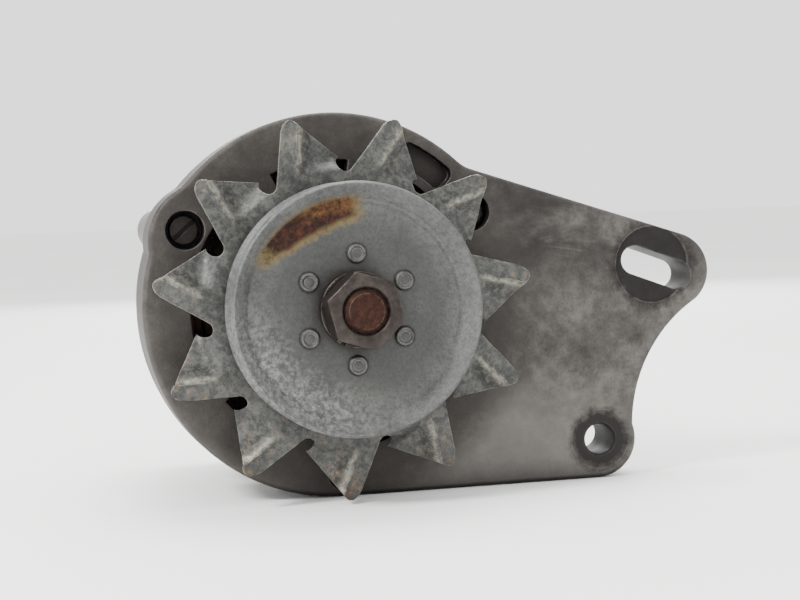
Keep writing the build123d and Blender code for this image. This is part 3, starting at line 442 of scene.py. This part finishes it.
finishes = {
    # sand-cast aluminium, never painted: dull grey with brown dust in the skin and painted shade with grime in
    # the corners
    "cast_aluminium": agedFinish("sand cast aluminium, oily", {
        "tones": ("2C2A28", "494643", "65625E"), "clouds": 24, "mottle": 4.5, "grain": 0.9, "rough": (0.5, 0.7),
        "specks": (0.22, "2B2725"), "shadeAndGrime": (0.9, 12.0, "120F0D"), "wearAndHighlight": (0.35, "8B8782"), "edge": 0.8,
        "relief": 0.22, "shader": {"Metallic": 0.45, "Specular IOR Level": 0.25}}, oilSmears),
    # the same casting further from the road dirt: paler and cleaner
    "rear_casting": agedFinish("die cast aluminium", {
        "tones": ("504C49", "615E5A", "716E6A"), "clouds": 22, "mottle": 4.0, "grain": 0.9,
        "rough": (0.45, 0.65),
        "specks": (0.4, "55504C"), "shadeAndGrime": (0.8, 8.0, "2A2522"), "wearAndHighlight": (0.6, "D0CDC7"), "edge": 0.7,
        "relief": 0.18, "shader": {"Metallic": 0.5, "Specular IOR Level": 0.25}}),
    # zinc plated sheet steel: the plating has gone chalky and the cut edges rust; the pale tone on its edges and
    # folds is painted highlight
    "zinc_steel_fan": agedFinish("zinc plated fan steel", {
        "tones": ("333432", "434442", "50514D"), "clouds": 14, "mottle": 2.6, "grain": 0.6, "fine": 0.55,
        "rough": (0.38, 0.6), "specks": (0.45, "2C2C2B"), "shadeAndGrime": (0.8, 7.0, "1B1816"),
        "wearAndHighlight": (0.75, "B4B0A0"), "edge": 0.35, "relief": 0.12,
        "shader": {"Metallic": 0.6, "Specular IOR Level": 0.25}}, foldLightAndRustTips),
    # the same plating on the pulley: brighter, even and finely crazed, with one rust stain
    "zinc_steel_pulley": agedFinish("zinc plated pulley steel", {
        "tones": ("414241", "535453", "62625F"), "clouds": 16, "mottle": 1.8, "grain": 0.7, "fine": 0.5,
        "rough": (0.4, 0.58), "specks": (0.45, "393A38"), "shadeAndGrime": (0.8, 4.5, "2E2824"),
        "wearAndHighlight": (0.8, "B9B6AB"), "edge": 0.45, "relief": 0.1,
        "shader": {"Metallic": 0.55, "Specular IOR Level": 0.25}}, rustBand),
    # blackened steel rubbed by a spanner: dark brown grey with bright corners
    "dark_steel": agedFinish("blackened nut steel", {
        "tones": ("1F1A17", "2E2825", "3D3733"), "clouds": 7, "mottle": 1.8, "grain": 0.5,
        "rough": (0.34, 0.55),
        "specks": (0.4, "2A2320"), "shadeAndGrime": (0.9, 3.0, "15100D"), "wearAndHighlight": (0.9, "A39A90"), "edge": 0.6,
        "relief": 0.08, "shader": {"Metallic": 0.75}}),
    # turned steel: fine and grey along its length, brown where its end stands in the weather
    "shaft_steel": agedFinish("turned shaft steel", {
        "tones": ("5D5955", "6F6B67", "7F7B77"), "clouds": 9, "mottle": 1.5, "grain": 0.5, "rough": (0.3, 0.5),
        "shadeAndGrime": (0.8, 2.5, "1A110C"), "wearAndHighlight": (0.5, "C4BDB5"), "edge": 0.3, "relief": 0.06,
        "shader": {"Metallic": 0.8}}, rustyEnd),
    # plain zinc plated bolts, dulled, with painted shade and dirt in their slots
    "bolt_steel": agedFinish("zinc plated bolt steel", {
        "tones": ("1F1B19", "2C2724", "3B3531"), "clouds": 6, "mottle": 1.6, "grain": 0.5,
        "rough": (0.35, 0.55),
        "shadeAndGrime": (0.95, 7.0, "0B0908"), "wearAndHighlight": (0.5, "5C544D"), "edge": 0.3, "relief": 0.06,
        "shader": {"Metallic": 0.8}}),
    # ground and hardened: bright, even, with only a breath of cloudiness
    "bearing_steel": agedFinish("ground bearing steel", {
        "tones": ("A5A5A4", "B4B4B3", "C1C1C0"), "clouds": 8, "mottle": 1.5, "grain": 0.4,
        "rough": (0.14, 0.24),
        "shadeAndGrime": (0.5, 2.0, "3A3027"), "edge": 0.3, "relief": 0.02, "shader": {"Metallic": 0.95}}),
    # pressed strip, a little yellow from old grease
    "cage_steel": agedFinish("pressed cage steel", {
        "tones": ("8B8168", "A29880", "B5AD97"), "clouds": 6, "mottle": 1.5, "grain": 0.5, "rough": (0.3, 0.45),
        "shadeAndGrime": (0.7, 2.0, "3C2F1D"), "edge": 0.2, "relief": 0.04, "shader": {"Metallic": 0.85}}),
    # forged iron claws: dark scale with faint rust
    "pole_iron": agedFinish("forged pole iron", {
        "tones": ("39332F", "544C46", "6B5A4C"), "clouds": 10, "mottle": 2.2, "grain": 0.6,
        "rough": (0.45, 0.65),
        "specks": (0.5, "5E3A26"), "shadeAndGrime": (0.8, 5.0, "15110F"), "wearAndHighlight": (0.6, "948D86"), "edge": 0.4,
        "relief": 0.1, "shader": {"Metallic": 0.7}}),
    # iron sheets stacked and dipped in brown varnish: fine dark lines round the body
    "core_laminations": agedFinish("varnished iron sheets", {
        "tones": ("40362F", "5B4F46", "756557"), "clouds": 12, "mottle": 2.4, "grain": 0.6,
        "rough": (0.36, 0.55),
        "shadeAndGrime": (0.8, 6.0, "161110"), "wearAndHighlight": (0.4, "8F857B"), "edge": 0.3, "relief": 0.08,
        "shader": {"Metallic": 0.55}}, sheetLayers),
    # enamelled wire under glossy red brown varnish, its tones darkened nearly to black as painted shade inside
    # the housing
    "copper_wire": agedFinish("varnished copper wire", {
        "tones": ("180C08", "2C160D", "452413"), "clouds": 8, "mottle": 2.0, "grain": 0.6, "rough": (0.25, 0.4),
        "shadeAndGrime": (0.9, 6.0, "0B0504"), "edge": 0.4, "relief": 0.1,
        "shader": {"Metallic": 0.6, "Coat Weight": 0.4}}, woundTurns),
    # copper polished by the brushes
    "slip_copper": agedFinish("polished copper", {
        "tones": ("A9653F", "BE7A50", "CE8F65"), "clouds": 5, "mottle": 1.5, "grain": 0.4, "rough": (0.16, 0.3),
        "shadeAndGrime": (0.5, 2.0, "3A1D10"), "edge": 0.2, "relief": 0.03, "shader": {"Metallic": 1.0}}),
    # glass filled nylon: even black with a fine moulded grain
    "moulded_plastic": agedFinish("glass filled nylon", {
        "tones": ("161616", "1F1F1E", "2A2A28"), "clouds": 18, "mottle": 3.0, "grain": 0.5,
        "rough": (0.42, 0.58),
        "shadeAndGrime": (0.6, 5.0, "0C0B0A"), "wearAndHighlight": (0.4, "5A5854"), "edge": 0.4, "relief": 0.05,
        "shader": {"Metallic": 0.0, "IOR": 1.53, "Specular IOR Level": 0.3}}),
    # paper laminate: brown, slightly mottled by its fibres
    "board": agedFinish("phenolic paper board", {
        "tones": ("5F3A1C", "75502B", "876238"), "clouds": 9, "mottle": 2.0, "grain": 0.5, "rough": (0.4, 0.55),
        "shadeAndGrime": (0.6, 3.0, "22140A"), "edge": 0.2, "relief": 0.04, "shader": {"Metallic": 0.0, "IOR": 1.55}}),
    # pressed carbon: soft black with a faint sheen
    "carbon": agedFinish("pressed carbon", {
        "tones": ("131314", "1E1E20", "2B2B2D"), "clouds": 4, "mottle": 1.2, "grain": 0.4, "rough": (0.4, 0.6),
        "edge": 0.2, "relief": 0.05, "shader": {"Metallic": 0.2}}),
    # drawn spring wire, bright with faint draw marks
    "spring_steel": agedFinish("drawn spring steel", {
        "tones": ("8F8F8D", "A5A5A2", "B9B9B6"), "clouds": 4, "mottle": 1.0, "grain": 0.4,
        "rough": (0.22, 0.36),
        "shadeAndGrime": (0.5, 1.5, "3A332C"), "edge": 0.1, "relief": 0.02, "shader": {"Metallic": 0.95}}),
    # rolled aluminium plate, matt and pale
    "heat_sink_aluminium": agedFinish("rolled aluminium plate", {
        "tones": ("A1A19F", "B1B1AF", "C0C0BE"), "clouds": 14, "mottle": 2.5, "grain": 0.5,
        "rough": (0.3, 0.45),
        "shadeAndGrime": (0.6, 4.0, "39342F"), "wearAndHighlight": (0.4, "DADAD6"), "edge": 0.25, "relief": 0.04,
        "shader": {"Metallic": 0.85}}),
    # nickel plated diode cans: smooth and slightly warm
    "diode_body": agedFinish("nickel plated steel", {
        "tones": ("8D8A84", "A19E98", "B3B0AA"), "clouds": 5, "mottle": 1.4, "grain": 0.4, "rough": (0.2, 0.34),
        "shadeAndGrime": (0.6, 2.5, "2E2822"), "edge": 0.25, "relief": 0.03, "shader": {"Metallic": 0.95}}),
    # brass terminal metal gone brown in its corners
    "terminal_brass": agedFinish("tarnished brass", {
        "tones": ("8C6A2E", "AA8642", "C09E58"), "clouds": 5, "mottle": 1.6, "grain": 0.5,
        "rough": (0.26, 0.42),
        "shadeAndGrime": (0.8, 2.5, "2B1D0C"), "wearAndHighlight": (0.5, "DCC48C"), "edge": 0.3, "relief": 0.04,
        "shader": {"Metallic": 0.95}}),
}
slotOf = {part["node"]: part["material_slot"] for part in frame["record"]["subparts"]}
for name, node in nodes.items():
    node.data.materials.clear()
    node.data.materials.append(finishes[slotOf[name]])
print("finishes made:", len(finishes))


edges = {"smooth": 38, "bevel": 42}     # edges sharper than these, in degrees, stay sharp or are bevelled


def placePiece(name, mesh, body, stands, solidify=None, bevel=None):
    # turns a finished bmesh into a piece that rides on a body and stands for CAD nodes
    data = bpy.data.meshes.new(name)
    mesh.to_mesh(data)
    mesh.free()
    data.materials.append(finishes[slotOf[stands[0]]])
    for face in data.polygons:
        face.use_smooth = True
    data.set_sharp_from_angle(angle=math.radians(edges["smooth"]))
    piece = bpy.data.objects.new(name, data)
    bpy.context.scene.collection.objects.link(piece)
    if solidify:
        wall = piece.modifiers.new("thickness", "SOLIDIFY")
        wall.thickness, wall.offset, wall.use_even_offset = solidify * mm, -1.0, True
    if bevel:
        edge = piece.modifiers.new("edge", "BEVEL")
        edge.width, edge.segments, edge.limit_method = bevel * mm, 2, "ANGLE"
        edge.angle_limit = math.radians(edges["bevel"])
    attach(piece, body)
    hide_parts(*stands)
    return piece


def at(radius, degrees, depth=0.0):
    # a point from its radius, its angle about the shaft and its depth, in mm
    turn = math.radians(degrees)
    return Vector((radius * math.cos(turn) * mm, depth * mm, radius * math.sin(turn) * mm))


def spinOutline(mesh, outline, steps=120, closed=True):
    # turns an outline of (radius, depth) in mm about the shaft
    verts = [mesh.verts.new((radius * mm, depth * mm, 0)) for radius, depth in outline]
    pairs = list(zip(verts, verts[1:])) + ([(verts[-1], verts[0])] if closed else [])
    edges = [mesh.edges.new(pair) for pair in pairs]
    bmesh.ops.spin(mesh, geom=verts + edges, cent=(0, 0, 0), axis=(0, 1, 0), angle=2 * math.pi, steps=steps,
                   use_merge=True)
    bmesh.ops.remove_doubles(mesh, verts=mesh.verts[:], dist=0.002 * mm)
    bmesh.ops.recalc_face_normals(mesh, faces=mesh.faces[:])


def roundEdges(mesh, width, segments=2, sharper=25):
    limit = math.radians(sharper)
    sharp = [edge for edge in mesh.edges if edge.is_manifold and edge.calc_face_angle(0) > limit]
    bmesh.ops.bevel(mesh, geom=sharp, offset=width * mm, offset_type="OFFSET", affect="EDGES",
                    segments=segments, profile=0.5, material=-1, clamp_overlap=True)


def bladeOutline():
    # one blade at notch angle 0: round its notch, up the leading edge, over the tip, back to the next notch
    step = 360.0 / fan["blades"]
    root = fan["notchCircle"] - fan["notchRadius"]
    here, there = at(fan["notchCircle"], 0), at(fan["notchCircle"], -step)
    points = [at(root, -step + step * n / 10) for n in range(10)]
    points += [here + at(fan["notchRadius"], 180 + 53.7 * n / 6) for n in range(7)]
    points += [at(60.0, -12.0), at(61.6, -13.2), at(62.7, -14.6), at(62.9, -15.9), at(62.3, -16.6)]
    points += [there + at(fan["notchRadius"], -5 + 152.3 * n / 14) for n in range(14)]
    return points


def bladeDepth(point):
    # how far back the sheet lies at a point, in mm
    x, z = point.x / mm, point.z / mm
    acrossX, acrossZ = fan["across"]
    edgeX, edgeZ = fan["edgeAt"]
    along = -acrossZ * (x - edgeX) + acrossX * (z - edgeZ)
    past = acrossX * (x - edgeX) + acrossZ * (z - edgeZ) - fan["fold"] + fan["skew"] * along
    wide = fan["foldWidth"]
    slope = 0.0 if past < -wide else past if past > wide else (past + wide) ** 2 / (4 * wide)
    lift = slope * math.tan(math.radians(fan["foldAngle"]))
    lift -= fan["ridge"] * math.exp(-(past / fan["ridgeWidth"]) ** 2)
    deep, middle, width, start, length = fan["dimple"]
    lift += deep * math.exp(-((past - middle) / width) ** 2) * math.exp(-((along - start) / length) ** 2)
    deep, middle, width = fan["tipBend"]
    back, start, length = fan["rootBend"]
    lift += deep * math.exp(-((along - middle) / width) ** 2) - back * math.exp(-((along - start) / length) ** 2)
    weight = min(max((math.hypot(x, z) - fan["bendsFrom"]) / fan["bendsOver"], 0.0), 1.0)
    return lift * weight * weight * (3 - 2 * weight)


def makeFan():
    mesh = bmesh.new()
    mesh.faces.new([mesh.verts.new(point) for point in bladeOutline()])
    cell = fan["cell"] * mm
    acrossX, acrossZ = fan["across"]
    for normal in (Vector((acrossX, 0, acrossZ)), Vector((-acrossZ, 0, acrossX))):
        reach = [vert.co.dot(normal) for vert in mesh.verts]
        cut = min(reach) + cell
        while cut < max(reach):
            bmesh.ops.bisect_plane(mesh, geom=mesh.verts[:] + mesh.edges[:] + mesh.faces[:],
                                   plane_co=normal * cut, plane_no=normal, dist=0.02 * mm)
            cut += cell
    for vert in mesh.verts:
        vert.co.y = (fan["front"] + bladeDepth(vert.co)) * mm
    blade = mesh.verts[:] + mesh.edges[:] + mesh.faces[:]
    for n in range(1, fan["blades"]):
        copy = bmesh.ops.duplicate(mesh, geom=blade)["geom"]
        turn = Matrix.Rotation(-math.radians(360.0 * n / fan["blades"]), 3, "Y")
        bmesh.ops.rotate(mesh, cent=(0, 0, 0), matrix=turn,
                         verts=[item for item in copy if isinstance(item, bmesh.types.BMVert)])
    bmesh.ops.rotate(mesh, cent=(0, 0, 0), matrix=Matrix.Rotation(-math.radians(fan["firstNotch"]), 3, "Y"),
                     verts=mesh.verts[:])
    bmesh.ops.remove_doubles(mesh, verts=mesh.verts[:], dist=0.02 * mm)
    for vert in mesh.verts:
        radius = math.hypot(vert.co.x, vert.co.z) / mm
        broad, small = fan["dentSizes"]
        rough = noise.noise(vert.co / (broad * mm)) + 0.5 * noise.noise(vert.co / (small * mm))
        share = min(max((radius - fan["dentsFrom"]) / fan["dentsOver"], 0.0), 1.0)
        vert.co.y += fan["dents"] * rough * share * mm
    root = (fan["notchCircle"] - fan["notchRadius"] + 0.01) * mm
    rim = [edge for edge in mesh.edges if edge.is_boundary and all(
        math.hypot(vert.co.x, vert.co.z) < root for vert in edge.verts)]
    for radius in (38.0, 30.0, 20.0, fan["bore"]):
        grown = bmesh.ops.extrude_edge_only(mesh, edges=rim)["geom"]
        for vert in (item for item in grown if isinstance(item, bmesh.types.BMVert)):
            scale = radius * mm / math.hypot(vert.co.x, vert.co.z)
            vert.co = Vector((vert.co.x * scale, fan["front"] * mm, vert.co.z * scale))
        rim = [item for item in grown if isinstance(item, bmesh.types.BMEdge)]
    bmesh.ops.recalc_face_normals(mesh, faces=mesh.faces[:])
    if sum(face.normal.y * face.calc_area() for face in mesh.faces) > 0:
        bmesh.ops.reverse_faces(mesh, faces=mesh.faces[:])
    placePiece("fanDisc", mesh, "rotor", ["cooling_fan"], solidify=fan["thickness"], bevel=0.22)


makeFan()
print("fan made")


pulley = {
    "bore": 8.52, "thickness": 1.8, "front": -32.5, "back": -24.9, "crease": 35.2, "rim": 40.6, "flare": 3.9,
    "bead": 0.55,                       # how far the pressed ring stands proud by the crease
    "flat": 25.0, "lip": (-0.4, 0.15),
    "beadShape": [(-3.2, 0.0), (-2.2, 0.3), (-1.2, -0.1)],  # mm from the crease, height as a share of the bead
    "warp": 0.12, "warpSize": 16, "warpFrom": 22.0, "warpOver": 14.0,       # how far old sheet is out of flat
    "rivetCircle": 17.7, "rivetAngle": 88.7, "rivetRadius": 3.3, "rivetHeight": 1.3, "rivetSunk": 0.4,
    "rivetShape": [(0, 0.8), (0.42, 0.8), (0.5, 0.72), (0.58, 0.8), (0.72, 1), (0.84, 0.92), (1, 0.35)],
}


def makePulleyDisc(name, middle, flare, node):
    # a pressed disc seen from its outer side; flare is -1 for the front one and 1 for the back one
    half = pulley["thickness"] / 2
    crease, rim, bead = pulley["crease"], pulley["rim"], pulley["bead"]
    slope = math.atan2(pulley["flare"], rim - crease)
    nx, ny = half * math.sin(slope), half * math.cos(slope)
    tip = pulley["flare"] - ny + half
    lipAt, lipHeight = pulley["lip"]
    outer = [(pulley["bore"], half), (pulley["flat"], half)]
    outer += [(crease + off, half + bead * share) for off, share in pulley["beadShape"]]
    outer += [(crease + lipAt, half + lipHeight), (rim - 2 * nx, tip + ny)]
    inner = [(rim, tip - ny), (crease + 0.3, -half), (pulley["bore"], -half)]
    mesh = bmesh.new()
    spinOutline(mesh, [(radius, middle + flare * lift) for radius, lift in outer + inner], steps=144)
    roundEdges(mesh, 0.3, segments=3, sharper=16)
    for vert in mesh.verts:
        radius = math.hypot(vert.co.x, vert.co.z) / mm
        share = min(max((radius - pulley["warpFrom"]) / pulley["warpOver"], 0.0), 1.0)
        vert.co.y += pulley["warp"] * noise.noise(vert.co / (pulley["warpSize"] * mm)) * share * mm
    placePiece(name, mesh, "rotor", [node])


def makeRivets():
    mesh = bmesh.new()
    head, lift = pulley["rivetRadius"], pulley["rivetHeight"]
    for n in range(6):
        for face, side in ((pulley["front"], -1), (pulley["back"], 1)):
            button = bmesh.new()
            sunk = -side * pulley["rivetSunk"]
            outline = [(head * wide, side * lift * tall) for wide, tall in pulley["rivetShape"]]
            spinOutline(button, outline + [(head, sunk), (0, sunk)], steps=36, closed=False)
            bmesh.ops.translate(button, vec=at(pulley["rivetCircle"], pulley["rivetAngle"] + 60 * n, face),
                                verts=button.verts[:])
            data = bpy.data.meshes.new("rivet")
            button.to_mesh(data)
            button.free()
            mesh.from_mesh(data)
            bpy.data.meshes.remove(data)
    placePiece("pulleyRivets", mesh, "rotor", ["pulley_rivets"])


makePulleyDisc("frontPulleyDisc", pulley["front"] + 0.9, -1, "pulley_front_disc")
makePulleyDisc("rearPulleyDisc", pulley["back"] - 0.9, 1, "pulley_rear_disc")
makeRivets()
print("pulley made")


nut = {"front": -46.5, "rear": -35.5, "acrossFlats": 22.0, "angle": 163.3, "bore": 7.02, "chamfer": 30.0,
       "mouth": 0.75, "mouthEdge": 0.95, "face": 0.75, "backFace": 0.3}     # how much wider or narrower, in mm
washer = {"front": -35.5, "rear": -32.5, "outer": 12.2, "bore": 7.2, "gap": 1.3, "gapAngle": 120,
          "rise": 0.3, "room": 0.35}      # how far its one turn climbs, and the room left in front for that


def makeNut():
    # rings of points round the nut, each drawn out to the six flats and dropped by the chamfer
    mesh = bmesh.new()
    flat = nut["acrossFlats"] / 2
    drop = math.tan(math.radians(nut["chamfer"]))

    def reach(direction):
        turn = (direction - nut["angle"]) % 60.0
        return flat / math.cos(math.radians(turn - 30.0 if turn < 60.0 else 30.0))

    steps = 72
    outline = [("bore", nut["front"] + 1.0), ("mouth", nut["front"] + 0.1), ("mouth+", nut["front"]),
               ("ring", nut["front"]), ("hex", nut["front"]), ("hexBack", nut["rear"]),
               ("ringBack", nut["rear"]), ("bore", nut["rear"])]
    rings = []
    for kind, depth in outline:
        ring = []
        for n in range(steps):
            direction = nut["angle"] + 360.0 * n / steps
            side = reach(direction)
            radius = {"bore": nut["bore"], "mouth": nut["bore"] + nut["mouth"],
                      "mouth+": nut["bore"] + nut["mouthEdge"], "ring": flat - nut["face"],
                      "hex": side, "hexBack": side, "ringBack": flat - nut["backFace"]}[kind]
            lift = (side - flat + 0.45) * drop if kind == "hex" else -(side - flat + 0.2) * drop * 0.7 \
                if kind == "hexBack" else 0.0
            ring.append(mesh.verts.new(at(radius, direction, depth + lift)))
        rings.append([mesh.edges.new((a, b)) for a, b in zip(ring, ring[1:] + ring[:1])])
    for one, other in zip(rings, rings[1:] + rings[:1]):
        bmesh.ops.bridge_loops(mesh, edges=one + other)
    bmesh.ops.recalc_face_normals(mesh, faces=mesh.faces[:])
    placePiece("shaftNut", mesh, "rotor", ["shaft_nut"], bevel=0.25)


def makeWasher():
    # a split spring washer: a square bar that rises a little over its one turn
    mesh = bmesh.new()
    low, high = washer["front"], washer["rear"]
    front = low + washer["room"]
    corners = [(washer["bore"], front), (washer["outer"], front), (washer["outer"], high), (washer["bore"], high)]
    verts = [mesh.verts.new((radius * mm, depth * mm, 0)) for radius, depth in corners]
    face = mesh.faces.new(verts)
    gap = math.degrees(washer["gap"] / washer["outer"])
    steps = 96
    bmesh.ops.spin(mesh, geom=[face], cent=(0, 0, 0), axis=(0, 1, 0), steps=steps, use_merge=False,
                   angle=math.radians(360.0 - gap), dvec=(0, -washer["rise"] * mm / steps, 0))
    bmesh.ops.recalc_face_normals(mesh, faces=mesh.faces[:])
    turn = Matrix.Rotation(math.radians(washer["gapAngle"]), 3, "Y")
    bmesh.ops.rotate(mesh, cent=(0, 0, 0), matrix=turn, verts=mesh.verts[:])
    placePiece("springWasher", mesh, "rotor", ["spring_washer"], bevel=0.25)


makeNut()
makeWasher()
print("nut and washer made")


brushSpring = {"wire": 0.3, "turns": 6, "stepsPerTurn": 24, "wireSides": 10, "travel": 6.0}


def makeBrushSpring(name, node):
    # a coil spring under the roof of its tunnel
    low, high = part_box(node)
    wire = brushSpring["wire"] * mm
    coil = (high.x - low.x) / 2 - wire
    height = high.z - low.z
    steps = brushSpring["turns"] * brushSpring["stepsPerTurn"]
    start = Matrix.Translation((coil, 0, wire)) @ Matrix.Rotation(math.radians(90), 4, "X")
    mesh = bmesh.new()
    bmesh.ops.create_circle(mesh, cap_ends=True, segments=brushSpring["wireSides"], radius=wire, matrix=start)
    bmesh.ops.spin(mesh, geom=mesh.faces[:], cent=(0, 0, 0), axis=(0, 0, 1), steps=steps, use_merge=False,
                   angle=2 * math.pi * brushSpring["turns"], dvec=(0, 0, (height - 2 * wire) / steps))
    bmesh.ops.recalc_face_normals(mesh, faces=mesh.faces[:])
    bmesh.ops.translate(mesh, vec=((low.x + high.x) / 2, (low.y + high.y) / 2, low.z), verts=mesh.verts[:])
    piece = placePiece(name, mesh, "housing", [node])
    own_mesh(piece)


makeBrushSpring("innerBrushSpring", "brush_spring_inner")
makeBrushSpring("outerBrushSpring", "brush_spring_outer")
print("brush springs made")
